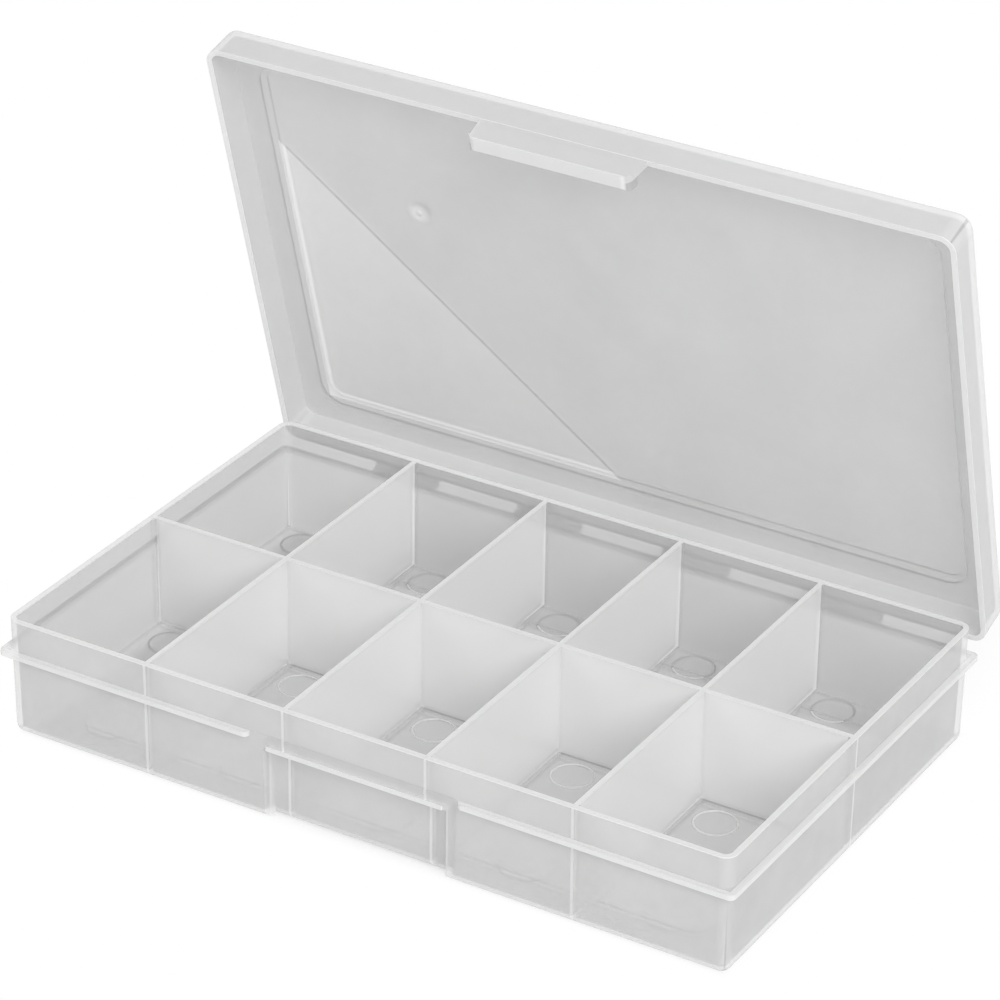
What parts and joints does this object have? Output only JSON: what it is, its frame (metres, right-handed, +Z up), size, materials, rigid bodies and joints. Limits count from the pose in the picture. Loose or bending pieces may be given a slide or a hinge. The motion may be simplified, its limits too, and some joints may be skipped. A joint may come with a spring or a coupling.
{
  "type": "compartment organizer box",
  "caption": "Hinged flat box with a grid of moulded compartments, a living hinge and a snap latch, for sorting small parts.",
  "frame": {"origin": "middle of the tray's base, on the surface that it stands on", "axes": "+X to the right along the front, +Y back towards the hinge, +Z up"},
  "size_m": [0.179, 0.12, 0.1319],
  "materials": {
    "polypropylene": "satin, milky translucent natural polypropylene",
    "label_film": "smooth translucent sticker film"
  },
  "bodies": {
    "tray": {"tray": "polypropylene", "tray_hinge_leaf_1": "polypropylene", "tray_hinge_leaf_2": "polypropylene", "tray_hinge_leaf_3": "polypropylene", "tray_hinge_leaf_4": "polypropylene"},
    "lid": {"lid": "polypropylene", "label": "label_film", "lid_hinge_leaf_1": "polypropylene", "lid_hinge_leaf_2": "polypropylene", "lid_hinge_leaf_3": "polypropylene", "lid_hinge_leaf_4": "polypropylene"},
    "latch": {"latch_tab": "polypropylene"}
  },
  "joints": [
    {"name": "lid_hinge", "type": "hinge", "parent": "tray", "child": "lid", "pos_m": [0, 0.05705, 0.0213], "axis": [-1, 0, 0], "range_deg": [-74.5, 105.5]},
    {"name": "latch_flex", "type": "hinge", "parent": "lid", "child": "latch", "pos_m": [0, 0.02709, 0.12989], "axis": [-1, 0, 0], "range_deg": [0, 22], "stiffness_Nm_per_rad": 0.05}
  ]
}
